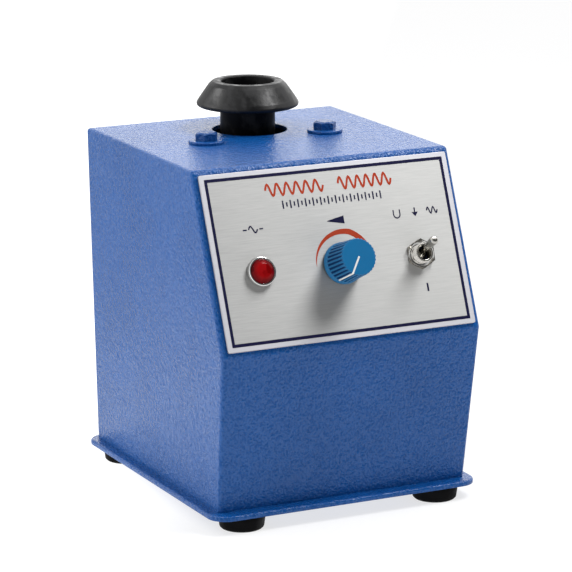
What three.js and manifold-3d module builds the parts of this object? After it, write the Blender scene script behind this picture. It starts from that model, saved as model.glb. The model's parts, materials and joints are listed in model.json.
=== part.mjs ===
// Vortex mixer: a sheet-metal case on a base plate, with a spring-hung motor that swings a rubber cup.
// Millimetres, +Z up, front faces -Y. The origin is the middle of the footprint, at the feet's soles.

import * as THREE from 'three';
import { mergeVertices } from 'three/addons/utils/BufferGeometryUtils.js';
import Module from 'manifold-3d';

const wasm = await Module();
wasm.setup();

// ---- Driving dimensions ----------------------------------------------------------------------

const GAP = 0.3;                                   // clearance between pieces that touch

const FOOT = { height: 7, topR: 11.3, soleR: 10.4, frontX: 52.4, frontY: -66.4, backX: 56.2, backY: 60.6 };
const BASE = { width: 142.8, depth: 156, thick: 2.5, corner: 9 };
const BASE_TOP = FOOT.height + BASE.thick;

const WALL = 2;                                    // sheet thickness of the case
const CASE = {
  top: BASE_TOP + 160.5,                           // height of the flat top
  kink: BASE_TOP + 78,                             // height where the sloping front turns back
  frontTopY: -46.5,
  kinkY: -80.5,
  frontBottomY: -70.5,
  backTopY: 77.5,
  backBottomY: 73.5,
  halfTop: 68.6,
  halfKink: 68.9,
  halfBottom: 66.5,
};

const DRIVE = { x: 2.2, y: 36, holeR: 18.8, throw: 2.25 };  // motor axis, and how far the cup sits off it
const BOLT = { x: 32.4, y: 13, r: 3, acrossFlats: 10, headHeight: 4 };
const POST = { x: DRIVE.x, y: 67, r: 3 };          // rear guide post of the motor bracket
const BRACKET = { bottom: 130, thick: 4, halfX: 42, frontY: 3, backY: 73.6 };
const MOTOR = { r: 27, wall: 2, top: BRACKET.bottom - GAP, bottom: 76, capBottom: 70, shaftR: 4 };
const CORE = { r: 18.6, bottom: 84, top: 120 };    // stator bore and stack height

// Places on the sloping front, as distances right of the middle and down from its top edge.
const LAMP = { x: -42.6, down: 50.9 };
const KNOB = { x: 0.4, down: 51.5, height: 19.7, backR: 10, faceR: 9.1, flutes: 30 };
const TOGGLE = { x: 42.4, down: 51.3, tilt: 14, pivot: 2, length: 16.2 };
const PANEL = { halfX: 66, top: 2.7, bottom: 87.2, outer: 1.4, corner: 1 };

// Places on the back, as distances right of the middle and up from the case's lower edge.
const GLAND = { x: -34, up: 30, reach: 13.26, boreR: 3.6 };
const FUSE = { x: 20, up: 30 };

// ---- Materials -------------------------------------------------------------------------------

const finish = (color, roughness, metalness) => new THREE.MeshStandardMaterial({ color, roughness, metalness });
const paint = finish(0x2f66b5, 0.35, 0.2);
const steel = finish(0xb9bcc0, 0.35, 0.9);
const aluminium = finish(0xc8c8c6, 0.4, 0.85);
const chrome = finish(0xdcdde0, 0.12, 1.0);
const rubber = finish(0x1c1c1e, 0.75, 0.0);
const redLens = finish(0xa00808, 0.15, 0.0);
const bluePlastic = finish(0x1e6eaa, 0.4, 0.0);
const blackPlastic = finish(0x141414, 0.5, 0.0);
const whitePlastic = finish(0xd8d6cf, 0.5, 0.0);
const boardGreen = finish(0x2c6b3c, 0.5, 0.0);
const castIron = finish(0x55585c, 0.6, 0.6);
const brass = finish(0xb89a55, 0.35, 0.9);

// ---- Geometry helpers ------------------------------------------------------------------------

function toSolid(geometry) {
  const bare = geometry.clone();
  bare.deleteAttribute('normal');
  bare.deleteAttribute('uv');
  const merged = mergeVertices(bare, 1e-4);
  return new wasm.Manifold(new wasm.Mesh({
    numProp: 3,
    vertProperties: Float32Array.from(merged.attributes.position.array),
    triVerts: Uint32Array.from(merged.index.array),
  }));
}

function toGeometry(solid) {
  const out = solid.getMesh();
  const geometry = new THREE.BufferGeometry();
  geometry.setAttribute('position', new THREE.BufferAttribute(new Float32Array(out.vertProperties), 3));
  geometry.setIndex(Array.from(out.triVerts));
  geometry.computeVertexNormals();
  return geometry;
}

function join(...geometries) {
  return toGeometry(geometries.map(toSolid).reduce((sum, next) => sum.add(next)));
}

function cut(geometry, ...tools) {
  return toGeometry(tools.map(toSolid).reduce((left, tool) => left.subtract(tool), toSolid(geometry)));
}

// A solid of revolution about Z from [radius, z] points.
function turned(profile, segments = 24) {
  const points = profile.map(([r, z]) => new THREE.Vector2(r, z));
  const first = points[0];
  const last = points[points.length - 1];
  if (first.x > 0 || last.x > 0) points.push(first.clone());
  const geometry = new THREE.LatheGeometry(points, segments).rotateX(Math.PI / 2);
  return toSolid(geometry).volume() < 0 ? flipped(geometry) : geometry;
}

function flipped(geometry) {
  const index = geometry.index.array;
  for (let i = 0; i < index.length; i += 3) [index[i], index[i + 1]] = [index[i + 1], index[i]];
  return geometry;
}

function rod(r, z0, z1, segments = 16) {
  return new THREE.CylinderGeometry(r, r, z1 - z0, segments).rotateX(Math.PI / 2).translate(0, 0, (z0 + z1) / 2);
}

function hexagon(acrossFlats, z0, z1) {
  return rod(acrossFlats / Math.sqrt(3), z0, z1, 6);
}

function ring(outerR, innerR, z0, z1, segments = 24) {
  return turned([[innerR, z0], [outerR, z0], [outerR, z1], [innerR, z1]], segments);
}

function block(x0, x1, y0, y1, z0, z1) {
  return new THREE.BoxGeometry(x1 - x0, y1 - y0, z1 - z0).translate((x0 + x1) / 2, (y0 + y1) / 2, (z0 + z1) / 2);
}

function roundedRectangle(x0, x1, y0, y1, corner) {
  const shape = new THREE.Shape();
  shape.moveTo(x0 + corner, y0);
  shape.lineTo(x1 - corner, y0);
  shape.absarc(x1 - corner, y0 + corner, corner, -Math.PI / 2, 0);
  shape.lineTo(x1, y1 - corner);
  shape.absarc(x1 - corner, y1 - corner, corner, 0, Math.PI / 2);
  shape.lineTo(x0 + corner, y1);
  shape.absarc(x0 + corner, y1 - corner, corner, Math.PI / 2, Math.PI);
  shape.lineTo(x0, y0 + corner);
  shape.absarc(x0 + corner, y0 + corner, corner, Math.PI, Math.PI * 1.5);
  return shape;
}

function roundHole(x, y, r) {
  const hole = new THREE.Path();
  hole.absarc(x, y, r, 0, Math.PI * 2, true);
  return hole;
}

function slab(shape, z0, z1, curveSegments = 6) {
  return new THREE.ExtrudeGeometry(shape, { depth: z1 - z0, bevelEnabled: false, curveSegments }).translate(0, 0, z0);
}

// ---- Scene graph -----------------------------------------------------------------------------

const mixer = new THREE.Group();

function add(parent, name, geometry, material) {
  const mesh = new THREE.Mesh(geometry, material.clone());
  mesh.name = name;
  parent.add(mesh);
  return mesh;
}

// Sloping front: local Y runs up the slope and local Z points out of it.
const slopeRun = CASE.frontTopY - CASE.kinkY;
const slopeRise = CASE.top - CASE.kink;
const front = new THREE.Group();
front.position.set(0, CASE.frontTopY, CASE.top);
front.rotation.x = Math.atan2(slopeRise, slopeRun);
front.updateMatrixWorld();
mixer.add(front);

// Back: local Y runs down the wall and local Z points out of it.
const back = new THREE.Group();
const backLean = Math.atan2(CASE.backTopY - CASE.backBottomY, CASE.top - BASE_TOP);
back.position.set(0, CASE.backBottomY, BASE_TOP);
back.rotation.x = -Math.PI / 2 - backLean;
back.updateMatrixWorld();
mixer.add(back);

function station(parent, x, y) {
  const group = new THREE.Group();
  group.position.set(x, y, 0);
  parent.add(group);
  group.updateMatrixWorld();
  return group;
}

const lampSeat = station(front, LAMP.x, -LAMP.down);
const knobSeat = station(front, KNOB.x, -KNOB.down);
const toggleSeat = station(front, TOGGLE.x, -TOGGLE.down);
const glandSeat = station(back, GLAND.x, -GLAND.up);
const fuseSeat = station(back, FUSE.x, -FUSE.up);
const drive = station(mixer, DRIVE.x, DRIVE.y);
const pin = station(mixer, DRIVE.x, DRIVE.y + DRIVE.throw);

function through(seat, r, segments = 16) {
  return rod(r, -WALL * 3, WALL * 3, segments).applyMatrix4(seat.matrixWorld);
}

// ---- Case ------------------------------------------------------------------------------------

// The side outline of the case, from the lower back corner forwards, each with its half width.
const OUTLINE = [
  { y: CASE.backBottomY, z: BASE_TOP, half: CASE.halfBottom },
  { y: CASE.frontBottomY, z: BASE_TOP, half: CASE.halfBottom },
  { y: CASE.kinkY, z: CASE.kink, half: CASE.halfKink },
  { y: CASE.frontTopY, z: CASE.top, half: CASE.halfTop },
  { y: CASE.backTopY, z: CASE.top, half: CASE.halfTop },
];

// Moves each edge of the outline inwards; the lower edge moves down instead, so the case is open below.
function insetOutline(outline, inset, below) {
  const edges = outline.map((a, i) => {
    const b = outline[(i + 1) % outline.length];
    const length = Math.hypot(b.y - a.y, b.z - a.z);
    const normal = { y: (b.z - a.z) / length, z: -(b.y - a.y) / length };
    const shift = i === 0 ? -below : inset;
    return { y: a.y + normal.y * shift, z: a.z + normal.z * shift, dy: b.y - a.y, dz: b.z - a.z };
  });
  return outline.map((corner, i) => {
    const p = edges[(i + outline.length - 1) % outline.length];
    const q = edges[i];
    const cross = p.dy * q.dz - p.dz * q.dy;
    const t = ((q.y - p.y) * q.dz - (q.z - p.z) * q.dy) / cross;
    return { y: p.y + p.dy * t, z: p.z + p.dz * t, half: corner.half - inset };
  });
}

// A closed hull from the outline: each side is a fan from the kink, which is the widest point.
function caseHull(outline) {
  const n = outline.length;
  const kink = 2;
  const positions = [];
  for (const side of [-1, 1]) {
    for (const p of outline) positions.push(side * p.half, p.y, p.z);
  }
  const index = [];
  for (let i = 0; i < n; i++) {
    const j = (i + 1) % n;
    index.push(i, n + j, j, i, n + i, n + j);
    if (i !== kink && j !== kink) index.push(kink, i, j, n + kink, n + j, n + i);
  }
  const geometry = new THREE.BufferGeometry();
  geometry.setAttribute('position', new THREE.BufferAttribute(new Float32Array(positions), 3));
  geometry.setIndex(index);
  return toSolid(geometry).volume() < 0 ? flipped(geometry) : geometry;
}

const TAB = { x: 58.5, ys: [-36, 40], half: 8, height: 6 };   // screw tabs at the foot of the side walls

function makeCase() {
  const shell = toSolid(caseHull(OUTLINE)).subtract(toSolid(caseHull(insetOutline(OUTLINE, WALL, 1))));
  let body = shell;
  for (const side of [-1, 1]) {
    for (const y of TAB.ys) {
      const inner = side * (TAB.x - TAB.half);
      const outer = side * (CASE.halfBottom - WALL / 2);
      const tab = block(Math.min(inner, outer), Math.max(inner, outer), y - TAB.half, y + TAB.half,
        BASE_TOP, BASE_TOP + TAB.height);
      body = body.add(toSolid(tab));
      body = body.subtract(toSolid(rod(2.1, BASE_TOP - 1, BASE_TOP + TAB.height + 1).translate(side * TAB.x, y, 0)));
    }
    body = body.subtract(toSolid(rod(BOLT.r + 0.4, CASE.top - 5, CASE.top + 5).translate(side * BOLT.x, BOLT.y, 0)));
  }
  body = body.subtract(toSolid(rod(DRIVE.holeR, CASE.top - 5, CASE.top + 5, 32).translate(DRIVE.x, DRIVE.y, 0)));
  const holes = [through(lampSeat, 6.1), through(knobSeat, 3.9), through(toggleSeat, 5.1),
    through(glandSeat, 6.2), through(fuseSeat, 6.4)];
  for (const hole of holes) body = body.subtract(toSolid(hole));
  return toGeometry(body);
}

add(mixer, 'body_casing', makeCase(), paint);

function makeBase() {
  const shape = roundedRectangle(-BASE.width / 2, BASE.width / 2, -BASE.depth / 2, BASE.depth / 2, BASE.corner);
  for (const side of [-1, 1]) {
    for (const y of TAB.ys) shape.holes.push(roundHole(side * TAB.x, y, 2.1));
    shape.holes.push(roundHole(side * FOOT.frontX, FOOT.frontY, 2.3));
    shape.holes.push(roundHole(side * FOOT.backX, FOOT.backY, 2.3));
  }
  shape.holes.push(roundHole(POST.x, POST.y, 2.3));
  return slab(shape, FOOT.height, BASE_TOP, 5);
}

add(mixer, 'base_plate', makeBase(), paint);

// ---- Feet and the screws under the base ------------------------------------------------------

const FOOT_RECESS = { r: 4.6, depth: 3 };

function makeFoot() {
  const { height, topR, soleR } = FOOT;
  return turned([
    [2.3, height], [topR, height], [topR, height - 1.5], [soleR + 0.4, 1], [soleR - 0.6, 0],
    [FOOT_RECESS.r, 0], [FOOT_RECESS.r, FOOT_RECESS.depth], [2.3, FOOT_RECESS.depth],
  ], 20);
}

function screw(headR, headBottom, headTop, shankR, tip) {
  return turned([
    [0, headBottom], [headR * 0.8, headBottom], [headR, headBottom + 0.7], [headR, headTop],
    [shankR, headTop], [shankR, tip], [0, tip],
  ], 12);
}

for (const [end, x, y] of [['front', FOOT.frontX, FOOT.frontY], ['back', FOOT.backX, FOOT.backY]]) {
  for (const [hand, side] of [['left', -1], ['right', 1]]) {
    const seat = station(mixer, side * x, y);
    add(seat, `foot_${end}_${hand}`, makeFoot(), rubber);
    add(seat, `foot_screw_${end}_${hand}`,
      screw(3.6, 0.8, FOOT_RECESS.depth, 1.6, BASE_TOP + 3), steel);
  }
}

for (const [end, y] of [['front', TAB.ys[0]], ['back', TAB.ys[1]]]) {
  for (const [hand, side] of [['left', -1], ['right', 1]]) {
    add(station(mixer, side * TAB.x, y), `base_screw_${end}_${hand}`,
      screw(3.6, FOOT.height - 2.4, FOOT.height, 1.8, BASE_TOP + TAB.height + 2), steel);
  }
}

// ---- Front panel -----------------------------------------------------------------------------

function makePanel() {
  const shape = roundedRectangle(-PANEL.halfX, PANEL.halfX, -PANEL.bottom, -PANEL.top, PANEL.corner);
  shape.holes.push(roundHole(LAMP.x, -LAMP.down, 6.1));
  shape.holes.push(roundHole(KNOB.x, -KNOB.down, 3.9));
  shape.holes.push(roundHole(TOGGLE.x, -TOGGLE.down, 5.1));
  return slab(shape, GAP, PANEL.outer, 10);
}

add(front, 'front_panel', makePanel(), aluminium);

const seatTop = PANEL.outer + GAP;                 // where pieces on the panel begin
const seatBack = -WALL - GAP;                      // where pieces behind the case wall begin

// ---- Mains lamp ------------------------------------------------------------------------------

add(lampSeat, 'lamp_bezel', turned([
  [4.6, seatTop], [7.05, seatTop], [7.05, seatTop + 1.6], [6.5, seatTop + 2.3], [6.2, seatTop + 2.3],
  [6.2, seatTop + 1.2], [4.6, seatTop + 1.2],
], 32), chrome);
add(lampSeat, 'lamp_lens', turned([
  [0, seatTop + 1.5], [5.9, seatTop + 1.5], [5.9, seatTop + 2.4], [5, seatTop + 3.5], [3, seatTop + 4.4],
  [0, seatTop + 4.8],
], 24), redLens);
add(lampSeat, 'lamp_body', rod(5.7, -20, PANEL.outer), blackPlastic);
add(lampSeat, 'lamp_nut', cut(hexagon(15, seatBack - 3, seatBack), rod(6, -20, 0)), steel);

// ---- Speed control ---------------------------------------------------------------------------

const POT = { r: 12, bottom: -14, bushR: 3.5, bushTop: 4, boreR: 3.3, shaftR: 2.9 };

add(knobSeat, 'pot_body', turned([
  [0, POT.bottom], [POT.r, POT.bottom], [POT.r, seatBack], [POT.bushR, seatBack], [POT.bushR, POT.bushTop],
  [POT.boreR, POT.bushTop], [POT.boreR, POT.bottom + 3], [0, POT.bottom + 3],
], 24), steel);
add(knobSeat, 'pot_nut', cut(hexagon(10, seatTop, seatTop + 2), rod(POT.bushR + GAP, 0, 9)), steel);
add(knobSeat, 'pot_shaft', rod(POT.shaftR, POT.bottom + 3 + GAP, 15), aluminium);

// A fluted knob that narrows to its face, hollowed behind for the nut and bored for the shaft.
function makeKnob() {
  const { flutes, backR, faceR, height } = KNOB;
  const bottom = 2.2;
  const shape = new THREE.Shape();
  const steps = flutes * 3;
  for (let i = 0; i < steps; i++) {
    const r = i % 3 === 0 ? backR : backR - 0.7;
    const angle = (i / steps) * Math.PI * 2;
    if (i === 0) shape.moveTo(r, 0);
    else shape.lineTo(r * Math.cos(angle), r * Math.sin(angle));
  }
  const body = slab(shape, bottom, height);
  const position = body.attributes.position;
  for (let i = 0; i < position.count; i++) {
    const along = (position.getZ(i) - bottom) / (height - bottom);
    const scale = 1 + along * (faceR / backR - 1);
    position.setXY(i, position.getX(i) * scale, position.getY(i) * scale);
  }
  return cut(body, rod(7, 0, 4.8), rod(POT.shaftR + GAP, 4, 16));
}

add(knobSeat, 'speed_knob', makeKnob(), bluePlastic);

const BOARD = { halfX: 30, low: -24, high: 22, thick: 1.6 };

function makeBoard() {
  const outer = POT.bottom - GAP;
  const inner = outer - BOARD.thick;
  return join(
    block(-BOARD.halfX, BOARD.halfX, BOARD.low, BOARD.high, inner, outer),
    rod(6, inner - 12, inner + 0.2).translate(-18, -10, 0),
    block(-27, -12, 4, 18, inner - 9, inner + 0.2),
    block(2, 12, 6, 18, inner - 8, inner + 0.2),
  );
}

add(knobSeat, 'control_board', makeBoard(), boardGreen);

// Folded heat sink for the power switch, standing on the back of the board.
function makeHeatsink() {
  const top = POT.bottom - GAP - BOARD.thick - GAP;
  const fins = [0, 1, 2, 3].map((i) => block(8 + i * 5, 9.5 + i * 5, -20, 0, top - 14, top - 1.5));
  return join(block(6, 27, -20, 0, top - 2, top), ...fins);
}

add(knobSeat, 'triac_heatsink', makeHeatsink(), aluminium);

// ---- Toggle switch ---------------------------------------------------------------------------

const BUSHING = { r: 4.75, boreR: 3.4, top: 6.8, depth: -3 };

function makeToggleBody() {
  return cut(
    join(block(-8, 8, -12, 12, -20, seatBack), rod(BUSHING.r, seatBack - 1, BUSHING.top, 24)),
    rod(BUSHING.boreR, BUSHING.depth, BUSHING.top + 1, 20),
  );
}

add(toggleSeat, 'toggle_body', makeToggleBody(), steel);
add(toggleSeat, 'toggle_nut', cut(
  hexagon(12.6, seatTop, seatTop + 2.2).rotateZ(Math.PI / 12),
  rod(BUSHING.r + GAP, 0, 9, 24),
), chrome);

// Bat lever: a ball in the bushing, a neck and a wider rounded tip.
const lever = add(toggleSeat, 'toggle_lever', turned([
  [0, -2.8], [1.6, -2.4], [2.6, -1.2], [2.9, 0], [2.6, 1.2], [1.5, 2.4], [1.45, 5], [1.7, 10],
  [2.1, TOGGLE.length - 1.6], [1.9, TOGGLE.length - 0.4], [1.1, TOGGLE.length + 0.9], [0, TOGGLE.length + 1.2],
], 16), chrome);
lever.position.z = TOGGLE.pivot;
lever.rotation.x = -THREE.MathUtils.degToRad(TOGGLE.tilt);

// ---- Motor suspension ------------------------------------------------------------------------

const WASHER = { r: 8.75, thick: 1.5 };
const BUSH = { r: 6.7, flangeR: 8.4, flange: 2.2, boreR: 3.5 };
const SPRING = { r: 5.1, wire: 0.7, turns: 5, bottom: 108.4, top: BRACKET.bottom - GAP - BUSH.flange - GAP };
const NUT = { bottom: 102.9, top: SPRING.bottom - GAP - 0.1 };

function suspensionBolt() {
  const under = CASE.top + WASHER.thick;
  return join(rod(BOLT.r, NUT.bottom - 2, under + 1, 12), hexagon(BOLT.acrossFlats, under, under + BOLT.headHeight));
}

function bush(r, flangeR) {
  const { bottom, thick } = BRACKET;
  const flangeTop = bottom - GAP;
  return turned([
    [BUSH.boreR, flangeTop - BUSH.flange], [flangeR, flangeTop - BUSH.flange], [flangeR, flangeTop],
    [r, flangeTop], [r, bottom + thick], [BUSH.boreR, bottom + thick],
  ], 20);
}

class Helix extends THREE.Curve {
  getPoint(t, target = new THREE.Vector3()) {
    const turn = t * SPRING.turns * Math.PI * 2;
    const z0 = SPRING.bottom + SPRING.wire;
    const z1 = SPRING.top - SPRING.wire;
    return target.set(SPRING.r * Math.cos(turn), SPRING.r * Math.sin(turn), z0 + (z1 - z0) * t);
  }
}

function makeSpring() {
  const section = new THREE.Shape();
  section.absarc(0, 0, SPRING.wire, 0, Math.PI * 2);
  return new THREE.ExtrudeGeometry(section, {
    steps: SPRING.turns * 9, curveSegments: 3, bevelEnabled: false, extrudePath: new Helix(),
  });
}

for (const [hand, side] of [['left', -1], ['right', 1]]) {
  const seat = station(mixer, side * BOLT.x, BOLT.y);
  add(seat, `suspension_bolt_${hand}`, suspensionBolt(), paint);
  add(seat, `bolt_washer_${hand}`, ring(WASHER.r, BOLT.r + GAP, CASE.top, CASE.top + WASHER.thick), paint);
  add(seat, `spacer_sleeve_${hand}`,
    ring(5, BOLT.r + GAP, BRACKET.bottom + BRACKET.thick + GAP, CASE.top - WALL - GAP, 16), steel);
  add(seat, `bracket_bush_${hand}`, bush(BUSH.r, BUSH.flangeR), rubber);
  add(seat, `lift_spring_${hand}`, makeSpring(), steel);
  add(seat, `suspension_nut_${hand}`,
    cut(hexagon(BOLT.acrossFlats, NUT.bottom, NUT.top), rod(BOLT.r + GAP, 90, 120)), steel);
}

const post = station(mixer, POST.x, POST.y);
add(post, 'guide_post', turned([
  [0, FOOT.height + 0.2], [2, FOOT.height + 0.2], [2, BASE_TOP], [POST.r, BASE_TOP],
  [POST.r, 146], [0, 146],
], 16), steel);
add(post, 'bracket_bush_rear', turned([
  [POST.r + 0.2, BRACKET.bottom], [4.6, BRACKET.bottom], [4.6, BRACKET.bottom + 10],
  [POST.r + 0.2, BRACKET.bottom + 10],
], 16), whitePlastic);

function makeBracket() {
  const { halfX, frontY, backY, bottom, thick } = BRACKET;
  const shape = roundedRectangle(-halfX, halfX, frontY, backY, 4);
  for (const side of [-1, 1]) shape.holes.push(roundHole(side * BOLT.x, BOLT.y, BUSH.r + GAP));
  shape.holes.push(roundHole(DRIVE.x, DRIVE.y, 7));
  const plate = slab(shape, bottom, bottom + thick);
  return cut(plate, rod(4.9, bottom - 1, bottom + thick + 1).translate(POST.x, POST.y, 0),
    block(-60, POST.x - 9, 55, 90, 100, 150), block(POST.x + 9, 60, 55, 90, 100, 150));
}

add(mixer, 'motor_bracket', makeBracket(), steel);

// ---- Motor -----------------------------------------------------------------------------------

add(drive, 'motor_can', turned([
  [5.4, MOTOR.top], [MOTOR.r, MOTOR.top], [MOTOR.r, MOTOR.bottom], [MOTOR.r - MOTOR.wall, MOTOR.bottom],
  [MOTOR.r - MOTOR.wall, MOTOR.top - 4], [5.4, MOTOR.top - 4],
], 32), steel);
add(drive, 'motor_end_cap', ring(MOTOR.r, MOTOR.shaftR + 0.4, MOTOR.capBottom, MOTOR.bottom - GAP, 32), castIron);
add(drive, 'stator_core', ring(MOTOR.r - MOTOR.wall - GAP, CORE.r, CORE.bottom, CORE.top, 28), castIron);
add(drive, 'rotor', turned([
  [0, 64], [MOTOR.shaftR, 64], [MOTOR.shaftR, CORE.bottom], [CORE.r - 0.8, CORE.bottom],
  [CORE.r - 0.8, CORE.top], [MOTOR.shaftR, CORE.top], [MOTOR.shaftR, 141.7], [0, 141.7],
], 24), steel);

// ---- Eccentric drive and cup -----------------------------------------------------------------

const HEAD = { bottom: 136.5, top: 146, r: 14, pinR: 3, pinTop: 157 };

add(drive, 'eccentric_head', cut(
  join(rod(HEAD.r, HEAD.bottom, HEAD.top, 24), rod(HEAD.pinR, HEAD.top - 1, HEAD.pinTop).translate(0, DRIVE.throw, 0)),
  rod(MOTOR.shaftR + GAP, HEAD.bottom - 1, 142),
), steel);

function makeCounterweight() {
  const shape = new THREE.Shape();
  shape.absarc(0, 0, 24, Math.PI * 1.1, Math.PI * 1.9);
  shape.absarc(0, 0, HEAD.r + GAP, Math.PI * 1.9, Math.PI * 1.1, true);
  return slab(shape, HEAD.bottom + 1, HEAD.top - 1, 12);
}

add(drive, 'counterweight', makeCounterweight(), brass);

const HUB = { bottom: 147, top: 161.7, r: 12.5, spigotR: 8.8, spigotTop: 171.5, pocketR: 9.6, pocketTop: 153.3 };

add(pin, 'cup_hub', turned([
  [0, 158.5], [5, 158.5], [5, HUB.pocketTop], [HUB.pocketR, HUB.pocketTop], [HUB.pocketR, HUB.bottom],
  [HUB.r, HUB.bottom], [HUB.r, HUB.top], [HUB.spigotR, HUB.top], [HUB.spigotR, HUB.spigotTop],
  [0, HUB.spigotTop],
], 24), aluminium);
add(pin, 'cup_bearing', ring(HUB.pocketR - GAP, HEAD.pinR + 0.2, HUB.bottom + GAP, HUB.pocketTop - GAP), steel);

const CUP = { top: CASE.top + 24.3, rimR: 25.7, under: CASE.top + 11.8, stemR: 13.7, mouthR: 13.2 };

add(pin, 'rubber_cup', turned([
  [0, CUP.top - 17.4], [5, CUP.top - 17.2], [9, CUP.top - 15.3], [11.6, CUP.top - 10.9],
  [12.6, CUP.top - 5.9], [CUP.mouthR, CUP.top - 0.6], [CUP.mouthR + 0.8, CUP.top],
  [17.3, CUP.top], [18.8, CUP.top - 1.1], [20.2, CUP.top - 2.9], [24.6, CUP.top - 9],
  [CUP.rimR, CUP.top - 10.8], [CUP.rimR, CUP.top - 11.4], [CUP.rimR - 0.9, CUP.under],
  [CUP.stemR + 1.2, CUP.under], [CUP.stemR, CUP.under - 1.2], [CUP.stemR, HUB.top + GAP],
  [HUB.spigotR + GAP, HUB.top + GAP], [HUB.spigotR + GAP, HUB.spigotTop + GAP], [0, HUB.spigotTop + GAP],
], 28), rubber);

// ---- Touch switch under the motor ------------------------------------------------------------

const SWITCH = { x: DRIVE.x, y: 18, bottom: 56, top: 66.5, plungerTop: 69 };

add(mixer, 'switch_bracket', join(
  block(SWITCH.x - 11, SWITCH.x + 11, SWITCH.y - 18, SWITCH.y - 4 - GAP, BASE_TOP, BASE_TOP + 2),
  block(SWITCH.x - 11, SWITCH.x + 11, SWITCH.y - 6 - GAP, SWITCH.y - 4 - GAP, BASE_TOP, SWITCH.top),
), steel);
add(mixer, 'touch_switch', cut(
  block(SWITCH.x - 10, SWITCH.x + 10, SWITCH.y - 4, SWITCH.y + 4, SWITCH.bottom, SWITCH.top),
  rod(2.3, SWITCH.bottom + 3, SWITCH.top + 1).translate(SWITCH.x, SWITCH.y, 0),
), blackPlastic);
add(mixer, 'switch_plunger', rod(2, SWITCH.bottom + 6, SWITCH.plungerTop, 12).translate(SWITCH.x, SWITCH.y, 0), redLens);

add(mixer, 'terminal_block', join(
  block(-52, -36, -20, 16, BASE_TOP, BASE_TOP + 8),
  block(-49, -39, -20, 16, BASE_TOP + 7, BASE_TOP + 14),
), whitePlastic);

// ---- Cord gland and fuse holder in the back --------------------------------------------------

add(glandSeat, 'cable_gland', cut(
  join(
    rod(5.8, -11, 1, 20),
    hexagon(15, GAP, 4.5),
    turned([[0, 4], [6.6, 4], [6.6, GLAND.reach - 3.5], [5.4, GLAND.reach], [0, GLAND.reach]], 20),
  ),
  rod(GLAND.boreR, -12, GLAND.reach + 1, 16),
), blackPlastic);
add(glandSeat, 'gland_nut', cut(hexagon(16, seatBack - 4, seatBack), rod(5.8 + GAP, -20, 0, 20)), blackPlastic);

add(fuseSeat, 'fuse_holder', cut(
  join(rod(6, -34, 1, 20), rod(8, GAP, 2.3, 24)),
  rod(4.6, -30, 4, 16),
), blackPlastic);
add(fuseSeat, 'fuse_cap', join(rod(6.8, 2.6, 8.5, 24), rod(4.2, -22, 3, 16)), blackPlastic);

export default mixer;
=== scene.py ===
"""Looks of a vortex mixer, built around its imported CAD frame. +Z up, the front faces -Y.

Shapes are written in millimetres in the place where they sit, and a place's matrix turns them into metres
in the frame. Every object stays at the origin, so object coordinates are the frame's own.
"""

import json
import math

import bmesh
import bpy
from mathutils import Matrix, Vector

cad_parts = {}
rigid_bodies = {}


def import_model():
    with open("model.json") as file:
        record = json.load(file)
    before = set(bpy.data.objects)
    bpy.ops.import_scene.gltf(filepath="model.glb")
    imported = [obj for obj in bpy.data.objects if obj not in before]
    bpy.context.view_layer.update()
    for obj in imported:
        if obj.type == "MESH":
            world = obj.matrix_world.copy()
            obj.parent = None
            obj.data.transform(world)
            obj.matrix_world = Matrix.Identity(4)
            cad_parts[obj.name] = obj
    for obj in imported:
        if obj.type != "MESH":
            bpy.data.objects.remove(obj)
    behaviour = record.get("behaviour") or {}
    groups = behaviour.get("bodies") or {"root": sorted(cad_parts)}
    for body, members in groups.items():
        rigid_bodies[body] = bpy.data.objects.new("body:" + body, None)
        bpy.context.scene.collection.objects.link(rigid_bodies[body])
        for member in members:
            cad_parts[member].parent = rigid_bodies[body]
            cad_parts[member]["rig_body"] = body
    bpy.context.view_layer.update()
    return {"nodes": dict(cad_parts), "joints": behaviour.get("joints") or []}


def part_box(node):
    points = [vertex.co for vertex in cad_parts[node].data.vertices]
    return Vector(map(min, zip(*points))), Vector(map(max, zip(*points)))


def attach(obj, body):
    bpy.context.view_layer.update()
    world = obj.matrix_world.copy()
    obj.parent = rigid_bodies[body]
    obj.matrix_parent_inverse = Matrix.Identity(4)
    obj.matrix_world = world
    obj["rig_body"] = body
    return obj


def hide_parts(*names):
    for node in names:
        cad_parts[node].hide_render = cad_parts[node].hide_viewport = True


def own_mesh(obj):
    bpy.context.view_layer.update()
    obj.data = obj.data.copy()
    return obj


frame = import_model()

MM = 0.001
RIGHT = Vector((1, 0, 0))
UP = Vector((0, 0, 1))
SCALE = Matrix.Scale(MM, 4)


# ---- Places, all worked out from the frame ----

def middle(node):
    low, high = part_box(node)
    return (low + high) / 2


def place(point, out, along=RIGHT):
    """A millimetre place at point, whose Z runs out and whose X runs along."""
    across = out.cross(along)
    turn = Matrix((along, across, out)).transposed().to_4x4()
    return Matrix.Translation(point) @ turn @ SCALE


def upright(node, z=0.0):
    """A millimetre place over a node's middle, with its Z at a height of the frame."""
    at = middle(node)
    return place(Vector((at.x, at.y, z)), UP)


def spun(seat, degrees):
    """The place turned about its own Z."""
    return seat @ Matrix.Rotation(math.radians(degrees), 4, "Z")


joints = {joint["name"]: joint for joint in frame["joints"]}
ground = place(Vector(), UP)

slope_out = -Vector(joints["speed_turn"]["axis"])
slope_up = slope_out.cross(RIGHT)
knob_at = Vector(joints["speed_turn"]["pos_m"])


def on_slope(point):
    """The point's foot on the sloping front's own plane."""
    return point - slope_out * (point - knob_at).dot(slope_out)


lamp_seat = place(on_slope(middle("lamp_lens")), slope_out)
knob_seat = place(knob_at, slope_out)
toggle_seat = place(on_slope(Vector(joints["toggle_throw"]["pos_m"])), slope_out)

case_low, case_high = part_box("body_casing")
to_top = (case_high.z - knob_at.z) / slope_up.z
panel_seat = place(Vector((0, knob_at.y + slope_up.y * to_top, case_high.z)), slope_out)

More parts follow.
